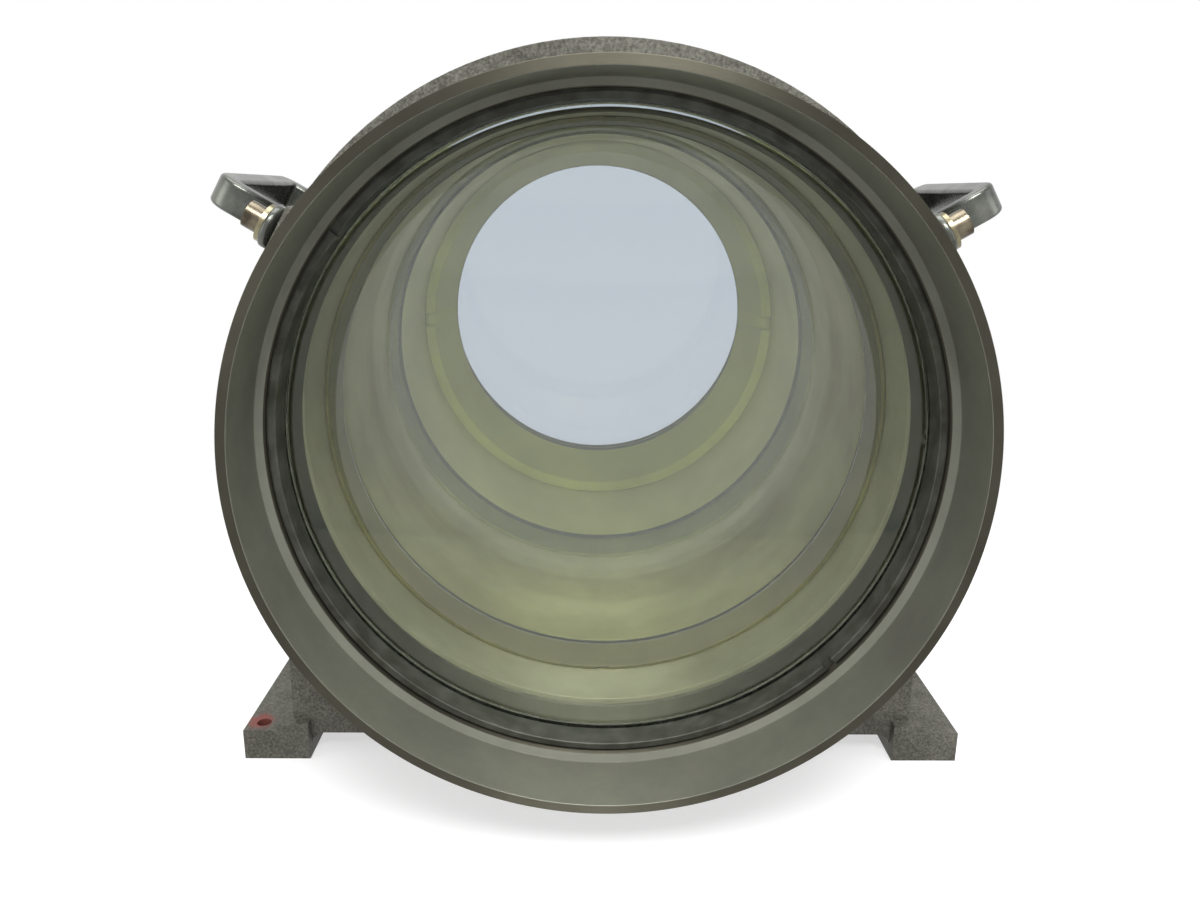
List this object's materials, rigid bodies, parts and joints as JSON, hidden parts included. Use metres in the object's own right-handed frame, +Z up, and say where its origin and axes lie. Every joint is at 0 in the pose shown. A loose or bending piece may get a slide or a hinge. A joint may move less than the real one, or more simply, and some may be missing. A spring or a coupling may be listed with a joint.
{
  "type": "relay lens",
  "caption": "Large relay lens: deep turned front ring and cast housing on two feet, lifting handles, big front lens, inner meniscus and a cemented rear pair.",
  "frame": {"origin": "bottom centre of the box: on the feet's plane, under the middle of the lens", "axes": "+Z up, -Y out of the front lens along the optical axis, +X to the right as seen from the front"},
  "size_m": [0.468, 0.41, 0.436],
  "materials": {
    "cast_paint": "matt grey paint on a sand casting",
    "turned_ring": "fine turned, clear anodised",
    "black_ring": "black anodised",
    "coated_glass": "polished, coated",
    "gasket": "matt",
    "black_steel": "blackened",
    "dowel_steel": "ground",
    "olive_barrel": "turned, dull anodised",
    "olive_ring": "matt olive black",
    "rear_cell_metal": "turned, dull anodised",
    "pair_ring": "turned, olive",
    "handle_steel": "satin, worn bright on the lugs",
    "washer_steel": "plain steel",
    "aged_steel": "aged"
  },
  "bodies": {
    "root": {"housing": "cast_paint", "front_ring": "turned_ring", "front_retaining_ring": "black_ring", "front_lens": "coated_glass", "front_lens_gasket": "gasket", "front_ring_gasket": "gasket", "front_ring_screws": "black_steel", "front_ring_dowels": "dowel_steel", "retainer_set_screws": "black_steel", "main_barrel": "olive_barrel", "main_barrel_screws": "black_steel", "second_retaining_ring": "olive_ring", "second_lens": "coated_glass", "second_lens_gasket": "gasket", "baffle_ring": "olive_ring", "rear_cell": "rear_cell_metal", "rear_cell_gasket": "gasket", "rear_cell_screws": "black_steel", "rear_retaining_ring": "pair_ring", "rear_crown_lens": "coated_glass", "rear_flint_lens": "coated_glass", "rear_lens_gasket": "gasket", "left_handle": "handle_steel", "right_handle": "handle_steel", "handle_washers": "washer_steel", "handle_screws": "aged_steel"}
  },
  "joints": []
}
